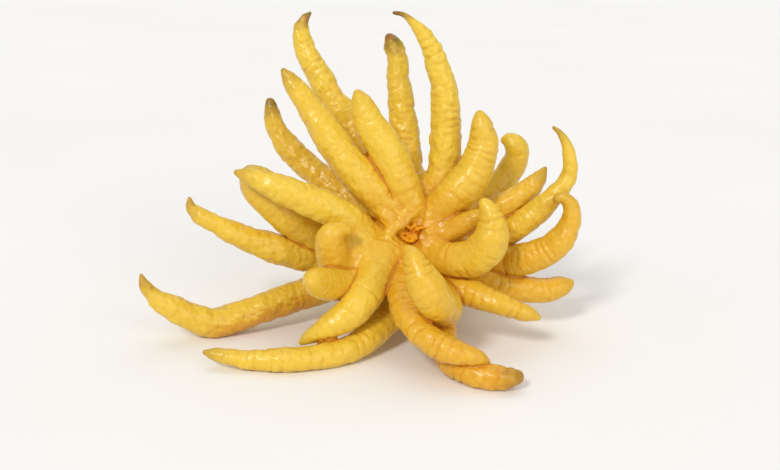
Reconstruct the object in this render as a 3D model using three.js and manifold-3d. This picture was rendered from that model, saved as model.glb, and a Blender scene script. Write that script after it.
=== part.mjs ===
// Buddha's hand citron, as picked, resting on a surface. Millimetres, +Z up.
// The open side of the hand faces -Y and the stem end faces +Y. +X is to the right seen from the open side.
//
// The fruit is one solid: a round palm, with curved, tapering fingers that grow out of it round the heart,
// the point where they all meet. The lowest fingers and the underside of the palm carry the fruit, and are
// pressed flat where they touch the surface. The stem button is the calyx with the cut end of the stalk.
import * as THREE from 'three';
import { mergeVertices } from 'three/addons/utils/BufferGeometryUtils.js';
import Module from 'manifold-3d';

// Driving dimensions
const FINGER_SIDES = 8; // facets round a finger
const PALM_SIDES = 20;
const RINGS_PER_WAYPOINT = 2;
const FIRST_NORMAL = new THREE.Vector3(0.31, 0.23, 0.92); // along no finger's root
const TIP_POINT = 0.8; // a tip's length past its last waypoint, in radii there
const ROOT_CAP = 0.5; // the same for a root, which is buried in the palm
const SURFACE = 0; // height of what the fruit rests on
const SKIN_GAP = 0.3; // between the palm and the stem button

// The palm from the heart to the stem end: x, y, z and radius of each waypoint.
const PALM = [
  [25, -4, 49, 12],
  [25, 2, 47, 27],
  [26, 12, 42.5, 36.5],
  [26, 28, 38, 38.9],
  [26, 44, 35, 35.4],
  [26, 58, 34, 27.5],
  [26, 69, 34, 18],
  [26, 77, 34, 9],
];

// The stem button. STEM_END is the middle of the flat that it sits on.
const STEM_END = { x: 26, y: 80, z: 34 };
const CALYX = { radius: 7.5, lobes: 5, lobeDepth: 1.5, thickness: 2.6 };
const CALYX_CORNERS_PER_LOBE = 6;
const STALK = { radius: 3.4, sides: 14, length: 6 };

// Every finger from its root in the palm to its tip: x, y, z and radius of each waypoint.
const FINGERS = {
  // on the surface, to the left, to the front left and to the front right
  farLeft: [
    [10, 30, 26, 12], [-6, 14, 20, 10], [-24, 1, 17.4, 8.8],
    [-39, -7, 14.6, 8.3], [-54, -15, 11.5, 8], [-66, -20, 8.6, 7.9],
    [-77, -24, 7.6, 7.9], [-88, -27, 11.6, 7.4], [-97.5, -30, 18.2, 6.4],
    [-105, -32, 24.5, 4.8], [-109.5, -33, 31, 3], [-111, -33, 36.5, 1],
  ],
  frontLeft: [
    [28, 6, 33, 12], [24, -9, 26, 10], [18, -24, 19, 8.4],
    [10, -38, 12, 7.4], [-4, -53, 6.8, 6.8], [-17, -61, 6.2, 6.5],
    [-28, -65, 5.8, 6.2], [-39, -66, 5.6, 6], [-51, -65, 5.2, 5.2], [-62, -64, 6, 4.2], [-71, -63, 7, 2.8],
    [-75, -63, 8, 1.3],
  ],
  frontRight: [
    [34, 3, 32, 12], [36, -15, 23, 9.6], [39, -33, 18, 8.2],
    [40, -50, 14, 7.5], [41, -63, 9.5, 6.9], [45, -72, 6.8, 6.7],
    [53, -79, 6.2, 6.5], [61, -83, 5.8, 6.1], [69, -85, 6.5, 5.2], [73, -85, 6.6, 3.7],
  ],
  // low fingers that stay clear of the surface
  aboveFrontLeft: [
    [20, 0, 44, 12], [13, -17, 41, 10], [8, -32, 38, 9.2],
    [4, -42, 33, 8.8], [-2, -49, 27, 8.2], [-10, -53, 21, 7.2],
    [-18, -55, 17, 5.6], [-25, -55, 13, 3.5], [-29, -55, 10, 1.5],
  ],
  aboveFrontRight: [
    [25, -4, 42, 12], [22, -22, 36, 9.4], [20, -39, 33, 7.8],
    [21, -52, 29, 7.2], [25, -63, 25, 7.2], [31, -72, 21, 7],
    [39, -79, 18.5, 6.6], [48, -81, 16.5, 5.3], [56, -82, 14.5, 3.4], [60, -81, 12.5, 1.4],
  ],
  frontKnuckle: [
    [33, -3, 36, 12], [38, -21, 27, 10], [41, -41, 26, 8.9],
    [40, -58, 30, 8.7], [36, -68, 37, 8.9], [31, -70, 45, 9],
    [27, -68, 53, 6.8], [25, -66, 59, 4.2], [22, -63, 62, 1.6],
  ],
  frontTeat: [
    [14, -3, 37, 12], [2, -19, 32, 10.4], [-7, -34, 33, 8.8],
    [-15, -45, 37, 8.4], [-20, -54, 41, 7.6], [-22, -60, 44, 5],
    [-23, -64, 45, 2.2],
  ],
  thumb: [
    [16, 2, 36, 12], [5, -13, 33, 11], [-5, -23, 36, 9.9],
    [-13, -31, 43, 8.7], [-15, -35, 51, 7.8], [-15, -37, 59, 6.8],
    [-11, -37, 62.5, 4.4], [-7, -37, 62.5, 2.4],
  ],
  lowRight: [
    [30, 5, 36, 12], [36, -9, 31, 10], [45, -23, 29, 8.3],
    [56, -35, 28.5, 6.9], [66, -40, 26.5, 6.1], [76, -42, 23.5, 4.8],
    [84, -43, 21, 3.3], [88, -43, 19.5, 1.8],
  ],
  lowFarRight: [
    [38, 8, 34, 12], [48, 0, 30, 10.2], [59, -7, 28, 8.8],
    [71, -12, 26, 7.7], [84, -13, 23.5, 7.2], [95, -12, 22.5, 6.7],
    [104, -10, 23.5, 5.6], [109, -9, 25, 2.8],
  ],
  // fingers of the left side
  left: [
    [2, 26, 34, 13], [-14, 13, 32.5, 11.2], [-31, 4, 35.6, 9.2],
    [-45, -2, 40.2, 8.1], [-58, -5, 46, 7.2], [-68, -7, 51, 6.1],
    [-77, -8, 56, 5], [-85, -9, 61, 4.2], [-89, -9, 65, 2.9],
    [-89.5, -9, 70, 1.1],
  ],
  leftBroad: [
    [0, 22, 38, 14], [-18, 10, 43, 12], [-30.5, 2, 53, 11],
    [-40, -2, 61.5, 11], [-48.5, -3, 69.5, 11], [-55, -3, 76.5, 9.4],
    [-58, -3, 81, 5.6],
  ],
  leftSlim: [
    [20, 4, 40, 12], [12, -5, 42, 9.8], [3, -13, 51, 8.6],
    [-7, -18, 61.5, 8.3], [-18, -20, 68.6, 8.3], [-30, -21, 74, 8],
    [-41, -21, 78.6, 7.2], [-50, -21, 82.4, 5.8], [-57, -21, 85, 4],
    [-63, -21, 87, 1.5],
  ],
  upperLeft: [
    [16, 16, 44, 12], [5, 16, 52, 10], [-6, 18, 61, 8.8], [-18, 23, 69, 8],
    [-28, 27, 76, 7.6], [-36, 30, 82.2, 7.2], [-42.7, 32, 89, 6.8],
    [-48, 34, 97, 5.9], [-51, 36, 106, 4.6], [-52, 37, 112, 2.7],
  ],
  // tall fingers
  tallLeft: [
    [20, 4, 50, 12], [15, -2, 59, 10], [8, -6, 71, 9.4], [-1, -6, 81, 9.5],
    [-8.8, -4, 90, 9.4], [-16.6, -1, 100, 8.7], [-24.6, 2, 111, 7.2],
    [-31.6, 4, 121, 6], [-37.5, 5, 129, 4.2], [-41, 5, 134, 1.6],
  ],
  tallBackLeft: [
    [22, 20, 52, 12], [15, 20, 66, 9.8], [4.5, 23, 81, 8.8],
    [-5.2, 27, 96, 8.2], [-13, 30, 108, 7.7], [-19.9, 33, 118, 7.2],
    [-26.6, 36, 129, 6.9], [-32.8, 39, 140, 6], [-35, 41, 150, 4.7],
    [-33.4, 42, 156, 2.8], [-30, 43, 159.5, 1],
  ],
  middle: [
    [26, 5, 48, 12], [26, -4, 56, 8.6], [25, -8, 66, 8],
    [21, -7, 77, 8.8], [16, -4, 87, 9.7], [10, -1, 97, 9.8],
    [3, 1, 108, 8.3], [-1, 2, 118, 5.5], [-3, 2, 123, 2.5],
  ],
  tallBackMiddle: [
    [28, 20, 50, 12], [27.5, 19, 60, 8.8], [25.4, 20, 72, 7.4],
    [23.8, 24, 84, 7.2], [22.4, 28, 97, 7.6], [20, 32, 110, 7.2],
    [18, 35, 123, 6.6], [17, 37, 135, 5.8], [15, 38, 143, 5.1],
    [13, 39, 147, 2.8],
  ],
  tallest: [
    [32, 8, 52, 12], [37, 7, 64, 9.4], [41, 7, 79, 8.1],
    [43, 9, 92, 8.5], [42.6, 10, 104, 8], [42, 10, 118, 7.6],
    [40, 11, 130, 6.6], [36, 11, 141, 5.5], [31, 11, 151, 4.1],
    [25, 11, 158, 2.5], [20, 11, 162, 1.5], [15, 11, 163, 1],
  ],
  // fingers of the right side
  upperRight: [
    [31, 3, 50, 12], [37, -4, 59, 10.4], [44, -8, 69, 10.2],
    [52, -8, 78, 10.2], [58, -6, 88, 9.3], [61, -5, 99, 7.8],
    [60, -5, 108, 5.8], [59, -5, 114, 2.6],
  ],
  backNub: [
    [44, 18, 45, 12], [56, 19, 52, 9.8], [67.5, 24, 61.5, 8.8],
    [74.5, 27, 69, 8.1], [79.5, 29, 77, 7.4], [83, 29, 85, 6.9],
    [82, 28, 91, 6.1], [78.5, 28, 94, 4], [75.5, 28, 94, 2.1],
  ],
  rightPointed: [
    [42, 12, 44, 12], [54, 10, 50, 9.9], [65, 8, 57, 8.7],
    [75, 6, 63.4, 7.9], [83, 6, 69, 6.9], [89.3, 7, 74, 5.5],
    [93, 8, 78.6, 3.6], [95.6, 9, 83, 1.4],
  ],
  rightHooked: [
    [46, 14, 42, 12], [63, 4, 44, 8.8], [76, -2, 51, 7.4],
    [86, -5, 59, 6.8], [94, -6, 67, 6.2], [101, -6, 75, 5.4],
    [106, -5, 83, 4.4], [106, -4, 92, 3.7], [104, -3, 99, 2.6], [100, -3, 105, 1.6], [97, -3, 107.5, 1],
  ],
  rightCurled: [
    [46, 12, 37, 12], [62, -1, 36, 9.2], [75, -9, 37, 8.5],
    [86, -15, 41, 8.3], [96, -18, 47, 7.7], [103, -19, 55, 6.8],
    [106, -19, 64, 5.3], [105, -19, 71, 3.9], [101, -19, 75, 2.9], [98, -19, 74, 2.2],
  ],
  innerCurled: [
    [29, 0, 47, 12], [34, -13, 46, 9], [41, -23, 44, 8],
    [48, -30, 45, 8.7], [57, -34, 48, 9.6], [63, -36, 56, 9.3],
    [64, -36, 65, 7.2], [62, -35, 73, 4.6], [60, -35, 76, 2.8],
  ],
  innerRight: [
    [31, 1, 49, 10], [38, -9, 51, 7.8], [45, -15, 56, 6.6], [52, -19, 61, 5.8], [58, -21, 65, 4],
  ],
};

const wasm = await Module();
wasm.setup();

function spineThrough(waypoints) {
  return new THREE.CatmullRomCurve3(waypoints.map(([x, y, z]) => new THREE.Vector3(x, y, z)));
}

// Square axes at each ring of a spine, turned as little as possible from one ring to the next.
function ringFrames(spine, rings) {
  const frames = [];
  let normal = FIRST_NORMAL;
  for (let ring = 0; ring <= rings; ring++) {
    const tangent = spine.getTangent(ring / rings);
    normal = normal.clone().addScaledVector(tangent, -normal.dot(tangent)).normalize();
    const binormal = new THREE.Vector3().crossVectors(tangent, normal);
    frames.push({ place: spine.getPoint(ring / rings), tangent, normal, binormal });
  }
  return frames;
}

// A closed round surface along waypoints, as thick as they say.
function taperedTube(waypoints, sides) {
  const rings = RINGS_PER_WAYPOINT * (waypoints.length - 1);
  const frames = ringFrames(spineThrough(waypoints), rings);
  const girth = new THREE.SplineCurve(waypoints.map(([, , , radius], i) => new THREE.Vector2(i, radius)));

  // A plain rod of radius 1 with its rings at heights 0, 1, 2 and so on, closed on its axis at both ends.
  const outline = [new THREE.Vector2(0, 0)];
  for (let ring = 0; ring <= rings; ring++) outline.push(new THREE.Vector2(1, ring));
  outline.push(new THREE.Vector2(0, rings));
  const tube = new THREE.LatheGeometry(outline, sides);

  const position = tube.getAttribute('position');
  for (let i = 0; i < position.count; i++) {
    const onRod = new THREE.Vector3().fromBufferAttribute(position, i);
    const ring = Math.round(onRod.y);
    const radius = girth.getPoint(ring / rings).y;
    const { place, tangent, normal, binormal } = frames[ring];
    const spot = place.clone();
    if (onRod.x ** 2 + onRod.z ** 2 > 0.5) {
      spot.addScaledVector(binormal, onRod.x * radius).addScaledVector(normal, onRod.z * radius);
    } else {
      spot.addScaledVector(tangent, ring === 0 ? -ROOT_CAP * radius : TIP_POINT * radius);
    }
    position.setXYZ(i, spot.x, spot.y, spot.z);
  }
  return tube;
}

function solidFrom(geometry) {
  geometry.deleteAttribute('normal');
  geometry.deleteAttribute('uv');
  const merged = mergeVertices(geometry);
  return new wasm.Manifold(
    new wasm.Mesh({
      numProp: 3,
      vertProperties: merged.getAttribute('position').array,
      triVerts: merged.index.array,
    }),
  );
}

function meshFrom(solid, name, material) {
  const { vertProperties, triVerts } = solid.getMesh();
  const geometry = new THREE.BufferGeometry();
  geometry.setAttribute('position', new THREE.BufferAttribute(vertProperties, 3));
  geometry.setIndex(new THREE.BufferAttribute(triVerts, 1));
  geometry.computeVertexNormals();
  const mesh = new THREE.Mesh(geometry, material);
  mesh.name = name;
  return mesh;
}

// Palm and fingers grown together, pressed flat where they rest and under the calyx.
function fruit() {
  const palm = solidFrom(taperedTube(PALM, PALM_SIDES));
  const fingers = [];
  for (const waypoints of Object.values(FINGERS)) {
    fingers.push(solidFrom(taperedTube(waypoints, FINGER_SIDES)));
  }
  const grown = wasm.Manifold.union([palm, ...fingers]);
  return grown.trimByPlane([0, 0, 1], SURFACE).trimByPlane([0, -1, 0], -STEM_END.y);
}

// The calyx, a lobed disc, with the cut stalk standing on it. The stalk runs along +Y.
function stemButton() {
  const outline = new THREE.Shape();
  const corners = CALYX.lobes * CALYX_CORNERS_PER_LOBE;
  for (let i = 0; i < corners; i++) {
    const angle = (2 * Math.PI * i) / corners;
    const reach = CALYX.radius + CALYX.lobeDepth * Math.cos(CALYX.lobes * angle);
    const corner = [reach * Math.cos(angle), reach * Math.sin(angle)];
    if (i === 0) outline.moveTo(...corner);
    else outline.lineTo(...corner);
  }
  const disc = new THREE.ExtrudeGeometry(outline, { depth: CALYX.thickness, bevelEnabled: false });
  const stalk = new THREE.CylinderGeometry(
    STALK.radius, STALK.radius, CALYX.thickness + STALK.length, STALK.sides,
  );
  stalk.rotateX(Math.PI / 2);
  stalk.translate(0, 0, (CALYX.thickness + STALK.length) / 2);
  const upright = wasm.Manifold.union([solidFrom(disc), solidFrom(stalk)]);
  return upright.rotate([-90, 0, 0]).translate([STEM_END.x, STEM_END.y + SKIN_GAP, STEM_END.z]);
}

const peel = new THREE.MeshStandardMaterial({ color: 0xf0c53a, roughness: 0.45, metalness: 0 });
const stem = new THREE.MeshStandardMaterial({ color: 0x6f7a3a, roughness: 0.75, metalness: 0 });

const citron = new THREE.Group();
citron.name = 'buddhas_hand_citron';
citron.add(meshFrom(fruit(), 'fruit', peel));
citron.add(meshFrom(stemButton(), 'stem_button', stem));

export default citron;
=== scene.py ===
"""Buddha's hand citron: the waxy, wrinkled skin, the flower's remains and the cut stem, in metres."""
import math
import bpy
import numpy as np
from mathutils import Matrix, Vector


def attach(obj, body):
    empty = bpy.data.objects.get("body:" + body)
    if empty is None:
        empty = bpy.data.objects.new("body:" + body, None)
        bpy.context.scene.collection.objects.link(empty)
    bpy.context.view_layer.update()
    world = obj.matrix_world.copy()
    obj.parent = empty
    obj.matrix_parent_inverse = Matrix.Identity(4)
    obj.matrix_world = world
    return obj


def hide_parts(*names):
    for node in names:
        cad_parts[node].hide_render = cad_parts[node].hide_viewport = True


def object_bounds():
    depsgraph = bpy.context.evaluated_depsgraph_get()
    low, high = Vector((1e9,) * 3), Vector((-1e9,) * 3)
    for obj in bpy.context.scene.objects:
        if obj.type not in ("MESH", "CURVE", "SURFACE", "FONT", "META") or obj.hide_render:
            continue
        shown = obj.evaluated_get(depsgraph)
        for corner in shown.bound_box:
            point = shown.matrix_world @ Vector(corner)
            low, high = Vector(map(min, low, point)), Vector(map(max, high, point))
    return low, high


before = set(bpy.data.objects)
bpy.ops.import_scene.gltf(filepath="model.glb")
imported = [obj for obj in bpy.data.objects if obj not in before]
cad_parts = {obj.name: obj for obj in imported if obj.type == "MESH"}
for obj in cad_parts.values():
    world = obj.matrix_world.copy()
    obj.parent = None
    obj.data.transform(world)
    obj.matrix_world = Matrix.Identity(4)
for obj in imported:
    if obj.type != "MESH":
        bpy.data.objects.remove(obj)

import openvdb
from mathutils import Matrix, Vector, noise

MM = 0.001
CAD_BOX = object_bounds()

# ---------------------------------------------------------------- the fruit's shape
# The same waypoints as the CAD model has, in millimetres: x, y, z and radius.
PALM = [
    (25, -4, 49, 12), (25, 2, 47, 27), (26, 12, 42.5, 36.5), (26, 28, 38, 38.9),
    (26, 44, 35, 35.4), (26, 58, 34, 27.5), (26, 69, 34, 18), (26, 77, 34, 9),
]
FINGERS = {
    # on the surface, to the left, to the front left and to the front right
    "far_left": [
        (10, 30, 26, 12), (-6, 14, 20, 10), (-24, 1, 17.4, 8.8), (-39, -7, 14.6, 8.3),
        (-54, -15, 11.5, 8), (-66, -20, 8.6, 7.9), (-77, -24, 7.6, 7.9), (-88, -27, 11.6, 7.4),
        (-97.5, -30, 18.2, 6.4), (-105, -32, 24.5, 4.8), (-109.5, -33, 31, 3), (-111, -33, 36.5, 1),
    ],
    "front_left": [
        (28, 6, 33, 12), (24, -9, 26, 10), (18, -24, 19, 8.4), (10, -38, 12, 7.4),
        (-4, -53, 6.8, 6.8), (-17, -61, 6.2, 6.5), (-28, -65, 5.8, 6.2), (-39, -66, 5.6, 6),
        (-51, -65, 5.2, 5.2), (-62, -64, 6, 4.2), (-71, -63, 7, 2.8), (-75, -63, 8, 1.3),
    ],
    "front_right": [
        (34, 3, 32, 12), (36, -15, 23, 9.6), (39, -33, 18, 8.2), (40, -50, 14, 7.5),
        (41, -63, 9.5, 6.9), (45, -72, 6.8, 6.7), (53, -79, 6.2, 6.5), (61, -83, 5.8, 6.1),
        (69, -85, 6.5, 5.2), (73, -85, 6.6, 3.7),
    ],
    # low fingers that stay clear of the surface
    "above_front_left": [
        (20, 0, 44, 12), (13, -17, 41, 10), (8, -32, 38, 9.2), (4, -42, 33, 8.8),
        (-2, -49, 27, 8.2), (-10, -53, 21, 7.2), (-18, -55, 17, 5.6), (-25, -55, 13, 3.5),
        (-29, -55, 10, 1.5),
    ],
    "above_front_right": [
        (25, -4, 42, 12), (22, -22, 36, 9.4), (20, -39, 33, 7.8), (21, -52, 29, 7.2),
        (25, -63, 25, 7.2), (31, -72, 21, 7), (39, -79, 18.5, 6.6), (48, -81, 16.5, 5.3),
        (56, -82, 14.5, 3.4), (60, -81, 12.5, 1.4),
    ],
    "front_knuckle": [
        (33, -3, 36, 12), (38, -21, 27, 10), (41, -41, 26, 8.9), (40, -58, 30, 8.7),
        (36, -68, 37, 8.9), (31, -70, 45, 9), (27, -68, 53, 6.8), (25, -66, 59, 4.2),
        (22, -63, 62, 1.6),
    ],
    "front_teat": [
        (14, -3, 37, 12), (2, -19, 32, 10.4), (-7, -34, 33, 8.8), (-15, -45, 37, 8.4),
        (-20, -54, 41, 7.6), (-22, -60, 44, 5), (-23, -64, 45, 2.2),
    ],
    "thumb": [
        (16, 2, 36, 12), (5, -13, 33, 11), (-5, -23, 36, 9.9), (-13, -31, 43, 8.7),
        (-15, -35, 51, 7.8), (-15, -37, 59, 6.8), (-11, -37, 62.5, 4.4), (-7, -37, 62.5, 2.4),
    ],
    "low_right": [
        (30, 5, 36, 12), (36, -9, 31, 10), (45, -23, 29, 8.3), (56, -35, 28.5, 6.9),
        (66, -40, 26.5, 6.1), (76, -42, 23.5, 4.8), (84, -43, 21, 3.3), (88, -43, 19.5, 1.8),
    ],
    "low_far_right": [
        (38, 8, 34, 12), (48, 0, 30, 10.2), (59, -7, 28, 8.8), (71, -12, 26, 7.7),
        (84, -13, 23.5, 7.2), (95, -12, 22.5, 6.7), (104, -10, 23.5, 5.6), (109, -9, 25, 2.8),
    ],
    # fingers of the left side
    "left": [
        (2, 26, 34, 13), (-14, 13, 32.5, 11.2), (-31, 4, 35.6, 9.2), (-45, -2, 40.2, 8.1),
        (-58, -5, 46, 7.2), (-68, -7, 51, 6.1), (-77, -8, 56, 5), (-85, -9, 61, 4.2),
        (-89, -9, 65, 2.9), (-89.5, -9, 70, 1.1),
    ],
    "left_broad": [
        (0, 22, 38, 14), (-18, 10, 43, 12), (-30.5, 2, 53, 11), (-40, -2, 61.5, 11),
        (-48.5, -3, 69.5, 11), (-55, -3, 76.5, 9.4), (-58, -3, 81, 5.6),
    ],
    "left_slim": [
        (20, 4, 40, 12), (12, -5, 42, 9.8), (3, -13, 51, 8.6), (-7, -18, 61.5, 8.3),
        (-18, -20, 68.6, 8.3), (-30, -21, 74, 8), (-41, -21, 78.6, 7.2), (-50, -21, 82.4, 5.8),
        (-57, -21, 85, 4), (-63, -21, 87, 1.5),
    ],
    "upper_left": [
        (16, 16, 44, 12), (5, 16, 52, 10), (-6, 18, 61, 8.8), (-18, 23, 69, 8), (-28, 27, 76, 7.6),
        (-36, 30, 82.2, 7.2), (-42.7, 32, 89, 6.8), (-48, 34, 97, 5.9), (-51, 36, 106, 4.6),
        (-52, 37, 112, 2.7),
    ],
    # tall fingers
    "tall_left": [
        (20, 4, 50, 12), (15, -2, 59, 10), (8, -6, 71, 9.4), (-1, -6, 81, 9.5), (-8.8, -4, 90, 9.4),
        (-16.6, -1, 100, 8.7), (-24.6, 2, 111, 7.2), (-31.6, 4, 121, 6), (-37.5, 5, 129, 4.2),
        (-41, 5, 134, 1.6),
    ],
    "tall_back_left": [
        (22, 20, 52, 12), (15, 20, 66, 9.8), (4.5, 23, 81, 8.8), (-5.2, 27, 96, 8.2),
        (-13, 30, 108, 7.7), (-19.9, 33, 118, 7.2), (-26.6, 36, 129, 6.9), (-32.8, 39, 140, 6),
        (-35, 41, 150, 4.7), (-33.4, 42, 156, 2.8), (-30, 43, 159.5, 1),
    ],
    "middle": [
        (26, 5, 48, 12), (26, -4, 56, 8.6), (25, -8, 66, 8), (21, -7, 77, 8.8), (16, -4, 87, 9.7),
        (10, -1, 97, 9.8), (3, 1, 108, 8.3), (-1, 2, 118, 5.5), (-3, 2, 123, 2.5),
    ],
    "tall_back_middle": [
        (28, 20, 50, 12), (27.5, 19, 60, 8.8), (25.4, 20, 72, 7.4), (23.8, 24, 84, 7.2),
        (22.4, 28, 97, 7.6), (20, 32, 110, 7.2), (18, 35, 123, 6.6), (17, 37, 135, 5.8),
        (15, 38, 143, 5.1), (13, 39, 147, 2.8),
    ],
    "tallest": [
        (32, 8, 52, 12), (37, 7, 64, 9.4), (41, 7, 79, 8.1), (43, 9, 92, 8.5), (42.6, 10, 104, 8),
        (42, 10, 118, 7.6), (40, 11, 130, 6.6), (36, 11, 141, 5.5), (31, 11, 151, 4.1),
        (25, 11, 158, 2.5), (20, 11, 162, 1.5), (15, 11, 163, 1),
    ],
    # fingers of the right side
    "upper_right": [
        (31, 3, 50, 12), (37, -4, 59, 10.4), (44, -8, 69, 10.2), (52, -8, 78, 10.2),
        (58, -6, 88, 9.3), (61, -5, 99, 7.8), (60, -5, 108, 5.8), (59, -5, 114, 2.6),
    ],
    "back_nub": [
        (44, 18, 45, 12), (56, 19, 52, 9.8), (67.5, 24, 61.5, 8.8), (74.5, 27, 69, 8.1),
        (79.5, 29, 77, 7.4), (83, 29, 85, 6.9), (82, 28, 91, 6.1), (78.5, 28, 94, 4),
        (75.5, 28, 94, 2.1),
    ],
    "right_pointed": [
        (42, 12, 44, 12), (54, 10, 50, 9.9), (65, 8, 57, 8.7), (75, 6, 63.4, 7.9), (83, 6, 69, 6.9),
        (89.3, 7, 74, 5.5), (93, 8, 78.6, 3.6), (95.6, 9, 83, 1.4),
    ],
    "right_hooked": [
        (46, 14, 42, 12), (63, 4, 44, 8.8), (76, -2, 51, 7.4), (86, -5, 59, 6.8), (94, -6, 67, 6.2),
        (101, -6, 75, 5.4), (106, -5, 83, 4.4), (106, -4, 92, 3.7), (104, -3, 99, 2.6),
        (100, -3, 105, 1.6), (97, -3, 107.5, 1),
    ],
    "right_curled": [
        (46, 12, 37, 12), (62, -1, 36, 9.2), (75, -9, 37, 8.5), (86, -15, 41, 8.3),
        (96, -18, 47, 7.7), (103, -19, 55, 6.8), (106, -19, 64, 5.3), (105, -19, 71, 3.9),
        (101, -19, 75, 2.9), (98, -19, 74, 2.2),
    ],
    "inner_curled": [
        (29, 0, 47, 12), (34, -13, 46, 9), (41, -23, 44, 8), (48, -30, 45, 8.7), (57, -34, 48, 9.6),
        (63, -36, 56, 9.3), (64, -36, 65, 7.2), (62, -35, 73, 4.6), (60, -35, 76, 2.8),
    ],
    "inner_right": [
        (31, 1, 49, 10), (38, -9, 51, 7.8), (45, -15, 56, 6.6), (52, -19, 61, 5.8),
        (58, -21, 65, 4),
    ],
}

# How each finger's skin looks, from 0 to 1: ring wrinkles across it, lumps, a dull tip, a deeper yellow.
SKIN = {
    "far_left": (0.3, 0.9, 0.5, 0.2), "front_left": (0.5, 0.6, 0.4, 0.2),
    "front_right": (1.0, 0.6, 0.6, 0.9), "above_front_left": (0.6, 0.4, 0.1, 0.15),
    "above_front_right": (1.0, 0.6, 0.1, 0.75), "front_knuckle": (0.9, 0.3, 0.0, 0.5),
    "front_teat": (0.3, 0.2, 0.0, 0.35), "thumb": (0.3, 0.35, 0.0, 0.5),
    "low_right": (0.9, 0.35, 0.1, 0.45), "low_far_right": (0.75, 0.35, 0.1, 0.6),
    "left": (0.3, 0.8, 0.5, 0.15), "left_broad": (0.2, 0.5, 0.2, 0.25),
    "left_slim": (0.3, 0.7, 0.3, 0.1), "upper_left": (0.3, 1.0, 0.8, 0.25),
    "tall_left": (0.35, 0.75, 0.4, 0.2), "tall_back_left": (0.5, 1.0, 0.9, 0.05),
    "middle": (0.5, 0.4, 0.1, 0.15), "tall_back_middle": (0.6, 1.0, 0.9, 0.05),
    "tallest": (0.7, 0.9, 1.0, 0.05), "upper_right": (0.85, 0.35, 0.1, 0.3),
    "back_nub": (0.3, 0.4, 0.1, 0.1), "right_pointed": (0.6, 0.5, 0.3, 0.4),
    "right_hooked": (0.4, 0.7, 0.5, 0.2), "right_curled": (0.8, 0.5, 0.2, 0.6),
    "inner_curled": (0.9, 0.25, 0.0, 0.3), "inner_right": (0.4, 0.2, 0.0, 0.5),
}
PALM_SKIN = (0.0, 1.0, 0.0, 0.3)

# Fingers whose roots are joined by smooth flesh. Where two such webs meet, the skin folds into a crease.
WEBS = [
    ["tall_left", "middle"],
    ["left_slim", "thumb", "front_teat", "above_front_left", "above_front_right"],
    ["tallest", "upper_right", "inner_right", "inner_curled"],
]
# What fills each web between its fingers' roots: x, y, z and radius.
FLESH = [
    [[(18, 0, 72, 6), (18.5, -4, 65, 6.5), (19, -6, 58, 7)], [(12, -7, 66, 5), (14, -9, 60, 5)]],
    [
        [(-7, -25, 48, 6), (1, -24, 46, 8), (10, -21, 44, 9), (17, -17, 41, 9.5), (21, -18, 36, 8)],
        [(-4, -23, 40, 8), (2, -26, 38, 9), (-1, -31, 34, 7.5)],
    ],
    [[(36, -5, 64, 7), (35, -11, 56, 7.5), (39, -12, 53, 7.5), (34, -13, 49, 8)]],
]
# Small knobs round the heart, and one that fills its bottom: x, y, z and radius.
KNOBS = [
    (11.6, -14.0, 63.0, 4.2), (15.6, -16.0, 57.6, 4.0), (19.4, -14.5, 63.0, 4.4), (24.0, -13.0, 66.0, 3.6),
    (14.6, -13.0, 68.6, 3.4), (20.6, -16.0, 58.2, 3.6), (33.2, -18.0, 56.0, 3.0), (27.4, -11.5, 70.0, 2.8),
    (30.5, -18.0, 50.5, 3.0), (13.0, -19.0, 52.5, 3.6),
    (24.6, -10.5, 54.6, 6.6),
]
KNOB_LENGTH = 5.0     # mm, how far a knob's body reaches back into the fruit
KNOB_BLEND = 2.6      # mm
HEART = (25.5, -14.0, 54.0)
# The pit at the heart, from the open end to its bottom: x, y, z and radius.
PIT = [(24.8, -26.0, 56.3, 3.8), (24.8, -19.5, 55.2, 3.0), (25.0, -18.0, 54.6, 2.2)]
PIT_BLEND = 1.2       # mm
PALM_FRONT = -3.0     # mm along Y, where the palm ends under the fingers' roots
FRONT_BLEND = 4.0     # mm

VOXEL = 0.66          # mm, the step of the grid that the skin is meshed on
BAND = 7.0            # mm, how far round the skin the grid is worked out
CREASE_BLEND = 0.7    # mm, how softly two fingers meet
WEB_BLEND = 5.0       # mm, how softly the fingers of one web grow together beside the heart
WEB_REACH = (9.0, 27.0)   # mm from the heart, where that softness starts to fade and where it ends
PALM_BLEND = 5.0      # mm, how softly a finger grows out of the palm
SPINE_STEP = 1.2      # mm between the samples of a spine
RIBS = 13             # round the back of the palm
RIB_RADII = (8.5, 4.2)    # mm, behind the fingers and at the stem
RIB_START, RIB_END = 6.0, 77.0    # mm along Y, the stretch of the palm that has ribs
RIB_FADE = (16.0, 14.0)   # mm along Y, over which the ribs rise in front and sink at the stem
RIB_BLEND = 1.4       # mm
RIB_INSET = 0.2       # mm, how far a rib stays under the palm's outline
RIB_JITTER = 0.3      # of the way to the next rib
RIB_WANDER = 0.14     # radians
PALM_SLACK = 3.4      # mm, how far the palm's middle lies under its outline in front
RIBBED_SLACK = 9.0    # mm, the same between the ribs
STEM_END = (26.0, 80.0, 34.0)
STEM_SEAT = 79.6      # mm, the flat that the calyx sits on
SEAT_BLEND = 1.0      # mm
SMOOTHINGS = 2        # rounds of relaxing on the new skin


def ramp(value, low, high):
    """0 below low, 1 above high, and smooth between."""
    t = np.clip((value - low) / (high - low), 0, 1)
    return t * t * (3 - 2 * t)


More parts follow.
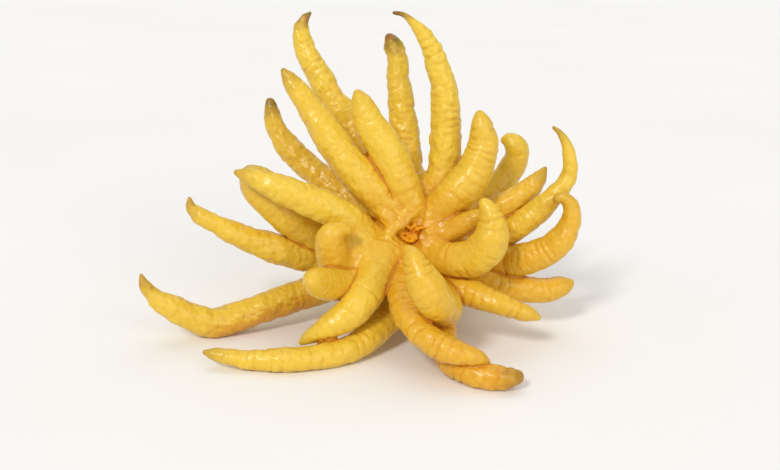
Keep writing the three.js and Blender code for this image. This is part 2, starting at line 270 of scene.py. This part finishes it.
def spine(waypoints, step=SPINE_STEP):
    """Points and radii along a centripetal Catmull-Rom curve through the waypoints."""
    p = np.array(waypoints, float)
    p = np.vstack([2 * p[:1] - p[1:2], p, 2 * p[-1:] - p[-2:-1]])
    rows = []
    for i in range(1, len(p) - 2):
        gap = [max(np.linalg.norm(p[j + 1, :3] - p[j, :3]), 1e-6) ** 0.5 for j in (i - 1, i, i + 1)]
        t0, t1 = 0.0, gap[0]
        t2 = t1 + gap[1]
        t3 = t2 + gap[2]
        count = max(2, int(np.ceil(gap[1] ** 2 / step)))
        for t in np.linspace(t1, t2, count, endpoint=False):
            a1 = ((t1 - t) * p[i - 1] + (t - t0) * p[i]) / (t1 - t0)
            a2 = ((t2 - t) * p[i] + (t - t1) * p[i + 1]) / (t2 - t1)
            a3 = ((t3 - t) * p[i + 1] + (t - t2) * p[i + 2]) / (t3 - t2)
            b1 = ((t2 - t) * a1 + (t - t0) * a2) / (t2 - t0)
            b2 = ((t3 - t) * a2 + (t - t1) * a3) / (t3 - t1)
            rows.append(((t2 - t) * b1 + (t - t1) * b2) / (t2 - t1))
    rows.append(p[-2])
    return np.array(rows)


def ribs():
    """Low ridges round the palm, from behind the fingers to the stem end."""
    palm = spine(PALM)
    first = palm[:, 1].argmin()
    runs = []
    for n in range(RIBS):
        turn = 2 * math.pi * (n + RIB_JITTER * math.sin(2.3 * n)) / RIBS
        run = []
        for y in np.arange(RIB_START, RIB_END, SPINE_STEP):
            x, z, r = (np.interp(y, palm[first:, 1], palm[first:, k]) for k in (0, 2, 3))
            part = (y - RIB_START) / (RIB_END - RIB_START)
            thick = RIB_RADII[0] + (RIB_RADII[1] - RIB_RADII[0]) * part
            wander = turn + RIB_WANDER * math.sin(3 * part + 1.7 * n)
            out = max(r - thick - RIB_INSET, 0.0)
            run.append((x + out * math.cos(wander), y, z + out * math.sin(wander), thick))
        runs.append(np.array(run))
    return runs


def smooth_min(a, b, k):
    """The lower of two distances, with the corner between them rounded off."""
    h = np.clip(0.5 + 0.5 * (b - a) / k, 0, 1)
    return b + (a - b) * h - k * h * (1 - h)


class Grid:
    """Signed distances, in mm, on an even grid."""

    def __init__(self, low, high, step=VOXEL):
        self.step = step
        self.low = np.floor((np.array(low) - BAND) / step) * step
        self.shape = tuple(np.ceil((np.array(high) + BAND - self.low) / step).astype(int) + 1)
        self.field = np.full(self.shape, BAND, np.float32)

    def like(self):
        other = Grid.__new__(Grid)
        other.step, other.low, other.shape = self.step, self.low, self.shape
        other.field = np.full(self.shape, BAND, np.float32)
        return other

    def axes(self, window):
        return [self.low[n] + self.step * np.arange(window[n].start, window[n].stop) for n in range(3)]

    def window(self, low, high):
        first = np.clip(np.floor((low - self.low) / self.step).astype(int), 0, np.array(self.shape) - 1)
        last = np.clip(np.ceil((high - self.low) / self.step).astype(int) + 1, 1, self.shape)
        return tuple(slice(a, b) for a, b in zip(first, last))

    def chain(self, rows):
        """The window of the grid round a chain of spheres joined by cones, and the distances in it."""
        thickest = rows[:, 3].max() + BAND + 2 * self.step
        window = self.window(rows[:, :3].min(0) - thickest, rows[:, :3].max(0) + thickest)
        near = np.full([s.stop - s.start for s in window], BAND, np.float32)
        for a, b in zip(rows[:-1], rows[1:]):
            reach = max(a[3], b[3]) + BAND
            part = self.window(np.minimum(a[:3], b[:3]) - reach, np.maximum(a[:3], b[:3]) + reach)
            inner = tuple(slice(p.start - w.start, p.stop - w.start) for p, w in zip(part, window))
            axes = [line - a[n] for n, line in enumerate(self.axes(part))]
            x, y, z = np.meshgrid(*axes, indexing="ij", sparse=True)
            d = b[:3] - a[:3]
            t = np.clip((x * d[0] + y * d[1] + z * d[2]) / max(d @ d, 1e-9), 0, 1)
            far = np.sqrt((x - t * d[0]) ** 2 + (y - t * d[1]) ** 2 + (z - t * d[2]) ** 2)
            near[inner] = np.minimum(near[inner], far - (a[3] + t * (b[3] - a[3])))
        return window, near

    def softness(self, window):
        """How softly shapes grow together there: most beside the heart."""
        axes = [line - HEART[n] for n, line in enumerate(self.axes(window))]
        x, y, z = np.meshgrid(*axes, indexing="ij", sparse=True)
        near = 1 - ramp(np.sqrt(x * x + y * y + z * z), *WEB_REACH)
        return CREASE_BLEND + (WEB_BLEND - CREASE_BLEND) * near

    def add(self, rows, blend=None):
        window, near = self.chain(rows)
        k = self.softness(window) if blend is None else blend
        self.field[window] = smooth_min(self.field[window], near, k)

    def cut(self, rows, blend):
        window, near = self.chain(rows)
        self.field[window] = -smooth_min(-self.field[window], near, blend)

    def trim(self, y, side, blend):
        """Takes away everything past y, on the side of +Y (1) or -Y (-1)."""
        past = side * (self.low[1] + self.step * np.arange(self.shape[1]) - y)
        self.field = -smooth_min(-self.field, -past[None, :, None], blend)

    def surface(self):
        volume = openvdb.FloatGrid(BAND)
        volume.copyFromArray(self.field)
        points, quads = volume.convertToQuads(isovalue=0.0)
        return points * self.step + self.low, quads


def skin_mesh(chains):
    """The skin of the palm, its ribs, the fingers and the webs between them, before it is wrinkled."""
    every = np.vstack(list(chains.values()))
    low = (every[:, :3] - every[:, 3:4]).min(0)
    high = (every[:, :3] + every[:, 3:4]).max(0)
    high[1] = STEM_SEAT
    grid = Grid(low, high)
    fingers = grid.like()
    webbed = [name for names in WEBS for name in names]
    for name, rows in chains.items():
        if name not in webbed:
            fingers.add(rows, CREASE_BLEND)
    for names, fills in zip(WEBS, FLESH):
        web = grid.like()
        for name in names:
            web.add(chains[name])
        for fill in fills:
            web.add(spine(fill), WEB_BLEND)
        fingers.field = smooth_min(fingers.field, web.field, CREASE_BLEND)
    palm = spine(PALM)
    behind = palm[:, 1]
    ribs_risen = RIB_START + RIB_FADE[0]
    ribbed = ramp(behind, RIB_START, ribs_risen) * (1 - ramp(behind, RIB_END - RIB_FADE[1], RIB_END))
    palm[:, 3] -= ribbed * RIBBED_SLACK + (1 - ribbed) * PALM_SLACK * (behind < ribs_risen)
    grid.add(palm, CREASE_BLEND)
    for run in ribs():
        grid.add(run, RIB_BLEND)
    grid.trim(PALM_FRONT, -1, FRONT_BLEND)
    grid.field = smooth_min(grid.field, fingers.field, PALM_BLEND)
    for x, y, z, r in KNOBS:
        grid.add(np.array([(x, y, z, r), (x, y + KNOB_LENGTH, z, r)], float), KNOB_BLEND)
    grid.cut(np.array(PIT, float), PIT_BLEND)
    grid.trim(STEM_SEAT, 1, SEAT_BLEND)
    return grid.surface()


# ---------------------------------------------------------------- where on the fruit a point of the skin is
ON_FINGER = 4.0       # mm above a finger's rod, within which the skin is that finger's and not the palm's
POINTS_AT_ONCE = 4000
FAR = 1e3             # mm
PALM_RADIUS = 30.0    # mm, taken for the skin of the palm


class Places:
    """For each point of the skin: the nearest finger, how far along it, and how near the next one is."""

    def __init__(self, points, chains):
        count = len(points)
        self.depth = np.full(count, FAR)
        self.next_depth = np.full(count, FAR)
        self.from_tip = np.full(count, FAR)
        self.radius = np.full(count, PALM_RADIUS)
        self.turn = np.zeros(count)
        self.finger = np.full(count, -1)
        for number, rows in enumerate(chains.values()):
            low = (rows[:, :3] - rows[:, 3:4]).min(0) - BAND
            high = (rows[:, :3] + rows[:, 3:4]).max(0) + BAND
            inside = np.nonzero(((points > low) & (points < high)).all(1))[0]
            for part in np.array_split(inside, max(1, len(inside) // POINTS_AT_ONCE)):
                if len(part):
                    self.meet(part, points[part], number, rows)
        self.finger[self.depth > ON_FINGER] = -1

    def meet(self, part, points, number, rows):
        steps = np.linalg.norm(np.diff(rows[:, :3], axis=0), axis=1)
        length = np.concatenate([[0], np.cumsum(steps)])
        away = points[:, None, :] - rows[None, :, :3]
        depth = np.linalg.norm(away, axis=2) - rows[None, :, 3]
        best = depth.argmin(1)
        ahead = np.gradient(rows[:, :3], axis=0)
        ahead /= np.linalg.norm(ahead, axis=1)[:, None]
        offset = away[np.arange(len(part)), best]
        along = length[best] + (offset * ahead[best]).sum(1)
        depth = depth[np.arange(len(part)), best]
        across = np.cross(ahead[best], [0.31, 0.23, 0.92])
        across /= np.linalg.norm(across, axis=1)[:, None]
        turn = np.arctan2((offset * np.cross(ahead[best], across)).sum(1), (offset * across).sum(1))
        wins = depth < self.depth[part]
        self.next_depth[part] = np.where(wins, self.depth[part], np.minimum(self.next_depth[part], depth))
        won = part[wins]
        self.depth[won] = depth[wins]
        self.from_tip[won] = length[-1] + rows[-1, 3] - along[wins]
        self.radius[won] = rows[best[wins], 3]
        self.turn[won] = turn[wins]
        self.finger[won] = number


def field_noise(points, size, seed):
    """Smooth noise from -1 to 1 at each point, with bumps about as wide as size, in mm."""
    shift = Vector((seed * 17.3, seed * -9.1, seed * 5.7))
    return np.array([noise.noise(Vector(p) / size + shift) for p in points])


def vertex_normals(points, quads):
    """The way that the skin faces at each point."""
    corner = points[quads]
    face = np.cross(corner[:, 2] - corner[:, 0], corner[:, 3] - corner[:, 1])
    total = np.zeros_like(points)
    for k in range(4):
        for axis in range(3):
            total[:, axis] += np.bincount(quads[:, k], face[:, axis], len(points))
    return total / np.maximum(np.linalg.norm(total, axis=1), 1e-12)[:, None]


def neighbours(quads, count):
    """The ends of every edge, both ways round, and how many edges meet at each point."""
    edges = np.vstack([quads[:, [k, (k + 1) % 4]] for k in range(4)])
    edges = np.vstack([edges, edges[:, ::-1]])
    return edges, np.bincount(edges[:, 0], minlength=count)


def relax(points, quads, rounds):
    """Moves each point half of the way to the middle of its neighbours."""
    edges, ways = neighbours(quads, len(points))
    for _ in range(rounds):
        middle = np.stack(
            [np.bincount(edges[:, 0], points[edges[:, 1], axis], len(points)) for axis in range(3)], 1
        )
        points = points + 0.5 * (middle / ways[:, None] - points)
    return points


RING_GAP = 4.4        # mm between ring wrinkles, on average
RING_DEPTH = 0.85     # mm
RING_SHARPNESS = 1.8  # a higher one makes the rings narrower
LUMP_HEIGHT = 1.0     # mm
GROOVE_DEPTH = 0.35   # mm, how far the skin folds in where two fingers meet
GROOVE_WIDTH = (0.1, 1.6)   # mm from the next finger, where the fold is deepest and where it ends
GROOVE_RISE = (0.6, 2.4)    # mm above both fingers, where the fold fades in the flesh between them
DIMPLE_HEIGHT = 0.28  # mm
UNEVEN = 0.75         # mm, how much a finger's thickness wanders
CRUMPLED = (8.0, 22.0)    # mm from the heart, from where the skin is crumpled less, to where it isn't
CRUMPLE_HEIGHT = 1.0      # mm
# Widths of the bumps, in mm.
WIDE, PATCHY, MIDDLE, CRUMPLES, SMALL, DIMPLES = 13.0, 9.0, 5.5, 3.6, 2.9, 2.1


def wrinkled(points, quads, places):
    """The skin's points moved in and out, and how deep each lies in a wrinkle and between two fingers."""
    styles = np.array([SKIN[name] for name in FINGERS] + [PALM_SKIN])
    ring, lump = styles[places.finger, 0], styles[places.finger, 1]
    normals = vertex_normals(points, quads)
    wide = field_noise(points, WIDE, 1)
    middle = field_noise(points, MIDDLE, 2)
    small = field_noise(points, SMALL, 3)
    patch = ramp(field_noise(points, PATCHY, 4), -0.35, 0.25)

    # Noise that changes only along a finger keeps its rings whole but unevenly spaced and deep.
    along = np.stack([places.from_tip, 40.0 * places.finger, 0 * places.turn], 1)
    drift = 4.0 * field_noise(along, 14.0, 5) + 1.4 * middle + 0.7 * np.sin(places.turn + places.finger)
    wave = (places.from_tip + drift) / RING_GAP
    depth = 0.4 + 0.6 * ramp(field_noise(along, 6.0, 6), -0.3, 0.3)
    crease = (1 - np.abs(np.sin(math.pi * wave))) ** RING_SHARPNESS
    rings = ring * crease * depth * patch * ramp(places.radius, 2.0, 5.0)
    thickness = ramp(places.radius, 0.8, 5.0)
    lumps = lump * (0.8 * middle + 0.45 * small - 0.12)
    calm = ramp(places.from_tip, 0.5, 7.0) * (0.25 + 0.75 * thickness)
    dimples = (0.35 + 0.65 * lump) * field_noise(points, DIMPLES, 10)
    from_heart = np.linalg.norm(points - HEART, axis=1)
    crumple = (1 - ramp(from_heart, *CRUMPLED)) * field_noise(points, CRUMPLES, 8)
    groove = 1 - ramp(places.next_depth - np.abs(places.depth), *GROOVE_WIDTH)
    groove *= 1 - ramp(places.depth, *GROOVE_RISE)
    height = -GROOVE_DEPTH * groove + calm * (
        -RING_DEPTH * rings + LUMP_HEIGHT * lumps + UNEVEN * wide + DIMPLE_HEIGHT * dimples
        + CRUMPLE_HEIGHT * crumple
    )
    return points + normals * height[:, None], rings, groove


def spread(values, quads, rounds):
    """A value of each point, evened out over the skin round it."""
    edges, ways = neighbours(quads, len(values))
    for _ in range(rounds):
        values = np.bincount(edges[:, 0], values[edges[:, 1]], len(values)) / ways
    return values


def hollows(points, quads, rounds, depth):
    """How deep each point lies below the skin round it: 0 on level skin and 1 at depth mm or more."""
    away = relax(points, quads, rounds) - points
    return np.clip((away * vertex_normals(points, quads)).sum(1) / depth, -1, 1)


# ---------------------------------------------------------------- materials
def srgb(r, g, b):
    """A colour as seen, 0 to 255, as the linear one that a shader takes."""
    parts = [c / 255 for c in (r, g, b)]
    return tuple(c / 12.92 if c <= 0.04045 else ((c + 0.055) / 1.055) ** 2.4 for c in parts) + (1.0,)


class Nodes:
    """A material's nodes, added and linked in one call each."""

    def __init__(self, name):
        self.material = bpy.data.materials.new(name)
        self.material.use_nodes = True
        self.tree = self.material.node_tree
        self.shader = self.tree.nodes["Principled BSDF"]

    def add(self, kind, settings=(), **inputs):
        node = self.tree.nodes.new(kind)
        for key, value in dict(settings).items():
            setattr(node, key, value)
        for key, value in inputs.items():
            self.feed(node.inputs[key.replace("_", " ")], value)
        return node

    def feed(self, socket, value):
        if isinstance(value, bpy.types.NodeSocket):
            self.tree.links.new(value, socket)
        else:
            socket.default_value = value

    def place(self):
        return self.add("ShaderNodeTexCoord").outputs["Object"]

    def noise(self, scale, detail):
        node = self.add("ShaderNodeTexNoise", Vector=self.place(), Scale=scale, Detail=detail, Roughness=0.5)
        return node.outputs["Fac"]

    def cells(self, scale):
        node = self.add("ShaderNodeTexVoronoi", {"feature": "F1"}, Vector=self.place(), Scale=scale)
        return node.outputs["Distance"]

    def attribute(self, name):
        return self.add("ShaderNodeAttribute", {"attribute_name": name}).outputs["Fac"]

    def remap(self, value, low, high, to_low=0.0, to_high=1.0):
        node = self.add("ShaderNodeMapRange", Value=value)
        for key, number in (("From Min", low), ("From Max", high), ("To Min", to_low), ("To Max", to_high)):
            node.inputs[key].default_value = number
        return node.outputs["Result"]

    def mix(self, part, a, b):
        node = self.add("ShaderNodeMix", {"data_type": "RGBA"})
        self.feed(node.inputs["Factor"], part)
        self.feed(node.inputs[6], a)
        self.feed(node.inputs[7], b)
        return node.outputs[2]

    def bump(self, height, strength, distance, under=None):
        node = self.add("ShaderNodeBump", Height=height, Strength=strength, Distance=distance)
        if under:
            self.feed(node.inputs["Normal"], under)
        return node.outputs["Normal"]

    def shade(self, **inputs):
        for key, value in inputs.items():
            self.feed(self.shader.inputs[key.replace("_", " ")], value)
        return self.material


# The peel's colours, as seen. The ridge colour is a painted highlight, the hollow colour is painted shade,
# and the crease colour is painted shade in the folds between fingers and the orange of the pit.
LEMON, GOLD, DEEP_YELLOW = srgb(230, 196, 62), srgb(214, 144, 0), srgb(228, 180, 44)
SPECKLE, PAINTED_RIDGE_HIGHLIGHT = srgb(238, 212, 84), srgb(238, 208, 74)
PAINTED_HOLLOW_SHADE, GROOVE_SHADE_AND_PIT, SCAR, PIT_RING = srgb(206, 136, 4), srgb(190, 112, 0), srgb(208, 134, 28), srgb(196, 140, 30)
TIP_OLIVE, TIP_BROWN = srgb(112, 90, 18), srgb(134, 78, 14)


def peel_material():
    """Waxy yellow peel: dull tips, painted orange shade in the folds and hollows, a painted highlight on
    ridges, pits of oil glands, a brown scar.
    """
    n = Nodes("citron_peel")
    base = n.mix(n.attribute("warm"), LEMON, GOLD)
    base = n.mix(n.remap(n.noise(70.0, 3.0), 0.38, 0.68, 0.0, 0.4), base, DEEP_YELLOW)
    base = n.mix(n.remap(n.noise(300.0, 3.0), 0.5, 0.72, 0.0, 0.25), base, SPECKLE)
    # painted highlight: a paler yellow on ridges and bulges
    base = n.mix(n.attribute("ridge_highlight"), base, PAINTED_RIDGE_HIGHLIGHT)
    # painted shade: darker orange in hollows and in the valleys of the ring wrinkles
    base = n.mix(n.attribute("hollow_shade"), base, PAINTED_HOLLOW_SHADE)
    # painted shade in the folds where fingers meet, and a darker orange towards the pit's bottom
    base = n.mix(n.attribute("groove_shade_and_pit"), base, GROOVE_SHADE_AND_PIT)
    base = n.mix(n.attribute("scar"), base, SCAR)
    dull = n.mix(n.remap(n.noise(160.0, 2.0), 0.4, 0.6), TIP_OLIVE, TIP_BROWN)
    base = n.mix(n.attribute("tip"), base, dull)

    # oil glands, 1.3 mm apart, over finer and coarser grain
    pits = n.remap(n.cells(760.0), 0.0, 0.42)
    base = n.mix(n.remap(pits, 0.0, 0.55, 0.16, 0.0), base, PIT_RING)
    grain = n.bump(n.noise(1500.0, 2.0), 0.25, 0.00012)
    lumps = n.bump(n.noise(340.0, 3.0), 0.55, 0.0007, grain)
    surface = n.bump(pits, 0.45, 0.00022, lumps)
    rough = n.remap(n.noise(240.0, 2.0), 0.3, 0.7, 0.25, 0.4)
    return n.shade(
        Base_Color=base, Roughness=rough, Normal=surface, Specular_IOR_Level=0.4, Coat_Weight=0.12,
        Coat_Roughness=0.16,
    )


def style_material():
    """The dried remains of the flower: shrivelled, orange to brown."""
    n = Nodes("dried_style")
    base = n.mix(n.remap(n.noise(260.0, 3.0), 0.35, 0.65), srgb(232, 160, 6), srgb(196, 108, 0))
    surface = n.bump(n.noise(900.0, 3.0), 0.6, 0.0004)
    return n.shade(Base_Color=base, Roughness=0.45, Normal=surface, Specular_IOR_Level=0.25)


def calyx_material():
    """Green to brown calyx and bark, with darker dry patches."""
    n = Nodes("calyx")
    base = n.mix(n.remap(n.noise(300.0, 3.0), 0.4, 0.62), srgb(112, 122, 50), srgb(138, 112, 62))
    base = n.mix(n.remap(n.noise(900.0, 2.0), 0.55, 0.7), base, srgb(84, 70, 36))
    surface = n.bump(n.noise(800.0, 3.0), 0.6, 0.0004)
    return n.shade(Base_Color=base, Roughness=0.7, Normal=surface, Specular_IOR_Level=0.3)


def cut_material():
    """The cut end of the stalk: pale wood with faint rings."""
    n = Nodes("cut_wood")
    middle = n.add(
        "ShaderNodeMapping", Vector=n.place(), Location=(-STEM_END[0] * MM, 0.0, -STEM_END[2] * MM)
    )
    rings = n.add("ShaderNodeTexWave", {"wave_type": "RINGS", "rings_direction": "Y"})
    n.feed(rings.inputs["Vector"], middle.outputs["Vector"])
    rings.inputs["Scale"].default_value = 260.0
    rings.inputs["Distortion"].default_value = 2.0
    base = n.mix(rings.outputs["Fac"], srgb(198, 184, 128), srgb(160, 140, 88))
    surface = n.bump(n.noise(1200.0, 2.0), 0.5, 0.0003)
    return n.shade(Base_Color=base, Roughness=0.8, Normal=surface, Specular_IOR_Level=0.3)


def floor_material():
    n = Nodes("studio_floor")
    base = n.mix(n.remap(n.noise(3.0, 2.0), 0.3, 0.7), srgb(243, 242, 240), srgb(246, 245, 243))
    return n.shade(Base_Color=base, Roughness=0.8, Specular_IOR_Level=0.1)


# ---------------------------------------------------------------- pieces
def mesh_object(name, points, faces, materials, smooth=True):
    """A mesh from points in mm."""
    mesh = bpy.data.meshes.new(name)
    mesh.from_pydata((np.asarray(points) * MM).tolist(), [], [list(map(int, f)) for f in faces])
    mesh.update()
    for material in materials:
        mesh.materials.append(material)
    mesh.polygons.foreach_set("use_smooth", [smooth] * len(mesh.polygons))
    piece = bpy.data.objects.new(name, mesh)
    bpy.context.scene.collection.objects.link(piece)
    return piece


def put_attribute(piece, name, values):
    layer = piece.data.attributes.new(name, "FLOAT", "POINT")
    layer.data.foreach_set("value", np.asarray(values, np.float32))


SCAR_SIDE = (0.1, -0.55, -0.83)       # the way that the scarred skin faces
SCAR_ENDS = ((-84, -70), (-30, -18))   # mm along X, where the scar fades in and out
SCAR_STRENGTH = 0.65


def scar_on(points, quads, places):
    """A long scar on the lower side of the far left finger."""
    on_it = places.finger == list(FINGERS).index("far_left")
    facing = vertex_normals(points, quads) @ np.array(SCAR_SIDE)
    length = ramp(points[:, 0], *SCAR_ENDS[0]) * (1 - ramp(points[:, 0], *SCAR_ENDS[1]))
    ragged = 0.35 * field_noise(points, 9.0, 8) + 0.2 * field_noise(points, 3.0, 9)
    return SCAR_STRENGTH * on_it * length * ramp(facing + ragged, 0.1, 0.6)


TIP_LENGTH = (2.0, 15.0)    # mm from the tip, where its dull colour is full and where it ends
NIB_LENGTH = (0.5, 3.5)     # mm, the same for the dry end of the tip
PIT_COLOUR = (3.5, 9.0)     # mm from the bottom of the pit, the same for its orange
HEART_COLOUR = (6.0, 44.0)  # mm from the heart, the same for the deeper yellow
# how the hollows and ridges are found, for the painted shade in hollows and the painted highlight on ridges
HOLLOW_ROUNDS, HOLLOW_DEPTH = 8, 0.55
WARM_ROUNDS = 60            # rounds of evening out between neighbouring fingers


def make_peel():
    """The palm and all the fingers, as one skin that stays inside the CAD model's box."""
    chains = {name: spine(waypoints) for name, waypoints in FINGERS.items()}
    points, quads = skin_mesh(chains)
    points = relax(points, quads, SMOOTHINGS)
    places = Places(points, chains)
    points, rings, groove = wrinkled(points, quads, places)
    low, high = np.array(CAD_BOX[0]) / MM, np.array(CAD_BOX[1]) / MM
    points = np.clip(points, low, high)

    styles = np.array([SKIN[name] for name in FINGERS] + [PALM_SKIN])[places.finger]
    grain = field_noise(points, 4.0, 7)
    tip = styles[:, 2] * (1 - ramp(places.from_tip + 4 * grain, *TIP_LENGTH))
    nib = np.minimum(2 * styles[:, 2], 0.6) * (1 - ramp(places.from_tip + 1.5 * grain, *NIB_LENGTH))
    hollow_shade = hollows(points, quads, HOLLOW_ROUNDS, HOLLOW_DEPTH)
    to_pit = np.linalg.norm((points - PIT[-1][:3]) * [1, 0.6, 1], axis=1)
    in_pit = 1 - ramp(to_pit + grain, *PIT_COLOUR)
    near_heart = 1 - ramp(np.linalg.norm(points - HEART, axis=1), *HEART_COLOUR)
    warm = spread(styles[:, 3] + 0.5 * near_heart, quads, WARM_ROUNDS)

    piece = mesh_object("citron_skin", points, quads, [peel_material()])
    # painted shade in the folds between fingers; darker orange towards the pit's bottom
    put_attribute(piece, "groove_shade_and_pit", np.maximum(0.7 * groove, 0.75 * in_pit))
    # painted shade in hollows and ring wrinkles
    put_attribute(piece, "hollow_shade", np.clip(np.maximum(0.8 * hollow_shade, 0.4 * rings), 0, 1))
    # painted highlight on ridges and bulges
    put_attribute(piece, "ridge_highlight", np.clip(-0.5 * hollow_shade, 0, 1))
    put_attribute(piece, "tip", np.clip(np.maximum(tip, nib), 0, 1))
    put_attribute(piece, "warm", np.clip(warm, 0, 1))
    put_attribute(piece, "scar", scar_on(points, quads, places))
    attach(piece, "root")
    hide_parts("fruit")
    return piece


STRANDS = 13
STRAND_STEPS = 20
STRAND_ROOT = (25.0, -15.5, 54.6)
STRAND_LEAN = (0.8, 5.2)      # mm, how far a strand's tip leans out
STRAND_LENGTH = (6.0, 8.0)    # mm
STRAND_RADII = (1.2, 0.7)     # mm, at the root and at the tip
STRAND_VOXEL = 0.3            # mm
STRAND_BLEND = 0.5            # mm


def between(ends, part):
    return ends[0] + (ends[1] - ends[0]) * part


def strand(n):
    """The n-th strand, which leans out and twists as it rises from the pit."""
    turn = 2.4 * n + 0.5 * math.sin(5 * n)
    lean = between(STRAND_LEAN, (0.618 * n) % 1)
    length = between(STRAND_LENGTH, (0.37 * n) % 1) - 0.5 * lean
    rows = []
    for t in np.linspace(0, 1, STRAND_STEPS):
        curl = 1.5 * t * t
        twist = turn + 6.5 * t * (1 if n % 2 else -1)
        x = 1.25 * lean * t ** 2.2 * math.cos(turn) + curl * math.cos(twist)
        z = lean * t ** 2.2 * math.sin(turn) + curl * math.sin(twist)
        y = -length * (t - 0.22 * t ** 4)
        rows.append((*(np.array(STRAND_ROOT) + [x, y, z]), between(STRAND_RADII, t)))
    return np.array(rows)


def make_style():
    """Withered strands of the flower's style, twisting out of the pit at the heart."""
    strands = [strand(n) for n in range(STRANDS)]
    every = np.vstack(strands)
    grid = Grid(every[:, :3].min(0), every[:, :3].max(0), STRAND_VOXEL)
    for rows in strands:
        grid.add(rows, STRAND_BLEND)
    points, quads = grid.surface()
    normals = vertex_normals(points, quads)
    shrivel = 0.35 * field_noise(points, 1.3, 11) + 0.25 * field_noise(points, 0.6, 12)
    piece = mesh_object("dried_style", points + normals * shrivel[:, None], quads, [style_material()])
    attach(piece, "root")
    return piece


# The stem button from the skin outwards: radius and height of its outline, in mm.
BUTTON_OUTLINE = [
    (3.0, 0.0), (6.6, 0.0), (7.4, 0.35), (7.5, 0.8), (7.1, 1.25), (6.0, 1.6), (5.0, 1.9), (4.3, 2.4),
    (3.8, 3.1), (3.45, 4.2), (3.3, 5.4), (3.3, 6.6), (3.45, 7.6), (3.4, 8.2), (3.1, 8.55),
    (2.6, 8.5), (1.9, 8.35), (1.0, 8.4),
]
BUTTON_HEIGHT = 8.6   # mm
BUTTON_SIDES = 120
OUTLINE_STEP = 0.25   # mm
LOBES, LOBE_DEPTH = 5, 0.17       # of the calyx
RIDGES, RIDGE_DEPTH = 9, 0.035    # along the stalk
BARK = 0.22           # mm, how rough the bark is
CUT_RADIUS, CUT_HEIGHT = 3.2, 8.2   # mm, within which and above which the stalk shows cut wood
SKIN_GAP = 0.3        # mm


def make_button():
    """The calyx with its five lobes, the ridged stalk and its cut end."""
    outline = spine([(r, 0, h, 0) for r, h in BUTTON_OUTLINE], OUTLINE_STEP)[:, [0, 2]]
    points = [(0.0, 0.0, 0.0)]
    for r, h in outline:
        for k in range(BUTTON_SIDES):
            angle = 2 * math.pi * k / BUTTON_SIDES
            lobes = 1 + LOBE_DEPTH * math.cos(LOBES * angle) * ramp(r, 4.0, 7.2)
            ridges = 1 + RIDGE_DEPTH * math.cos(RIDGES * angle + 0.5 * h) * ramp(h, 2.0, 4.0)
            out = r * lobes * ridges
            points.append((out * math.cos(angle), h, out * math.sin(angle)))
    points.append((0.0, outline[-1, 1], 0.0))
    points = np.array(points)
    rough = np.stack([field_noise(points, 1.4, 20 + axis) for axis in range(3)], 1)
    points += BARK * rough * [1, 0.5, 1]
    points[:, 1] = np.clip(points[:, 1], 0, BUTTON_HEIGHT)
    faces = []
    for ring in range(len(outline) - 1):
        for k in range(BUTTON_SIDES):
            a = 1 + ring * BUTTON_SIDES + k
            b = 1 + ring * BUTTON_SIDES + (k + 1) % BUTTON_SIDES
            faces.append((a, a + BUTTON_SIDES, b + BUTTON_SIDES, b))
    last = 1 + (len(outline) - 1) * BUTTON_SIDES
    for k in range(BUTTON_SIDES):
        n = (k + 1) % BUTTON_SIDES
        faces.append((0, 1 + k, 1 + n))
        faces.append((len(points) - 1, last + n, last + k))
    seat = np.array(STEM_END) + [0, SKIN_GAP, 0]
    piece = mesh_object("calyx_and_stalk", points + seat, faces, [calyx_material(), cut_material()])
    for face in piece.data.polygons:
        at = np.mean([points[v] for v in face.vertices], axis=0)
        if at[1] > CUT_HEIGHT and math.hypot(at[0], at[2]) < CUT_RADIUS:
            face.material_index = 1
    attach(piece, "root")
    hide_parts("stem_button")
    return piece


# ---------------------------------------------------------------- studio
CAMERA_AT = (0.014, -0.5159, 0.2106)    # metres
CAMERA_DOWN, CAMERA_ROLL = math.radians(17.46), math.radians(0.48)
CAMERA_LENS, SENSOR = 47.07, 36.0        # mm


def make_camera():
    """At the photograph's viewing angle: in front, 17.5 degrees down, a little rolled."""
    camera = bpy.data.objects.new("camera", bpy.data.cameras.new("camera"))
    bpy.context.scene.collection.objects.link(camera)
    camera.data.sensor_width = SENSOR
    camera.data.lens = CAMERA_LENS
    camera.data.clip_start = 0.01
    turn = Matrix.Rotation(math.pi / 2 - CAMERA_DOWN, 4, "X") @ Matrix.Rotation(CAMERA_ROLL, 4, "Z")
    camera.matrix_world = Matrix.Translation(CAMERA_AT) @ turn
    bpy.context.scene.camera = camera


def sun(name, direction, strength, spread, colour=(1, 1, 1)):
    """Even light that travels along direction; a wide spread in degrees gives soft shadows."""
    light = bpy.data.objects.new(name, bpy.data.lights.new(name, "SUN"))
    light.data.energy = strength
    light.data.angle = math.radians(spread)
    light.data.color = colour
    light.rotation_euler = Vector(direction).to_track_quat("-Z", "Y").to_euler()
    bpy.context.scene.collection.objects.link(light)


SKY = 0.5             # the white world's strength
FLOOR_HALF = 20000.0  # mm
FLOOR_DROP = 0.2      # mm, how far the floor lies under the fruit


def make_studio():
    sun("key", (0.42, 0.8, -0.75), 1.4, 12.0, (1.0, 0.985, 0.95))
    sun("fill", (-0.55, 0.8, -0.4), 0.75, 40.0)
    sun("top", (-0.1, -0.5, -1.0), 0.6, 60.0)
    world = bpy.data.worlds.new("studio")
    world.use_nodes = True
    world.node_tree.nodes["Background"].inputs["Color"].default_value = (1, 1, 1, 1)
    world.node_tree.nodes["Background"].inputs["Strength"].default_value = SKY
    bpy.context.scene.world = world
    bpy.context.scene.view_settings.view_transform = "Standard"

    half, z = FLOOR_HALF, -FLOOR_DROP
    corners = [(-half, -half, z), (half, -half, z), (half, half, z), (-half, half, z)]
    floor = mesh_object("floor", corners, [(0, 1, 2, 3)], [floor_material()], smooth=False)


make_camera()
make_studio()
make_peel()
make_style()
make_button()
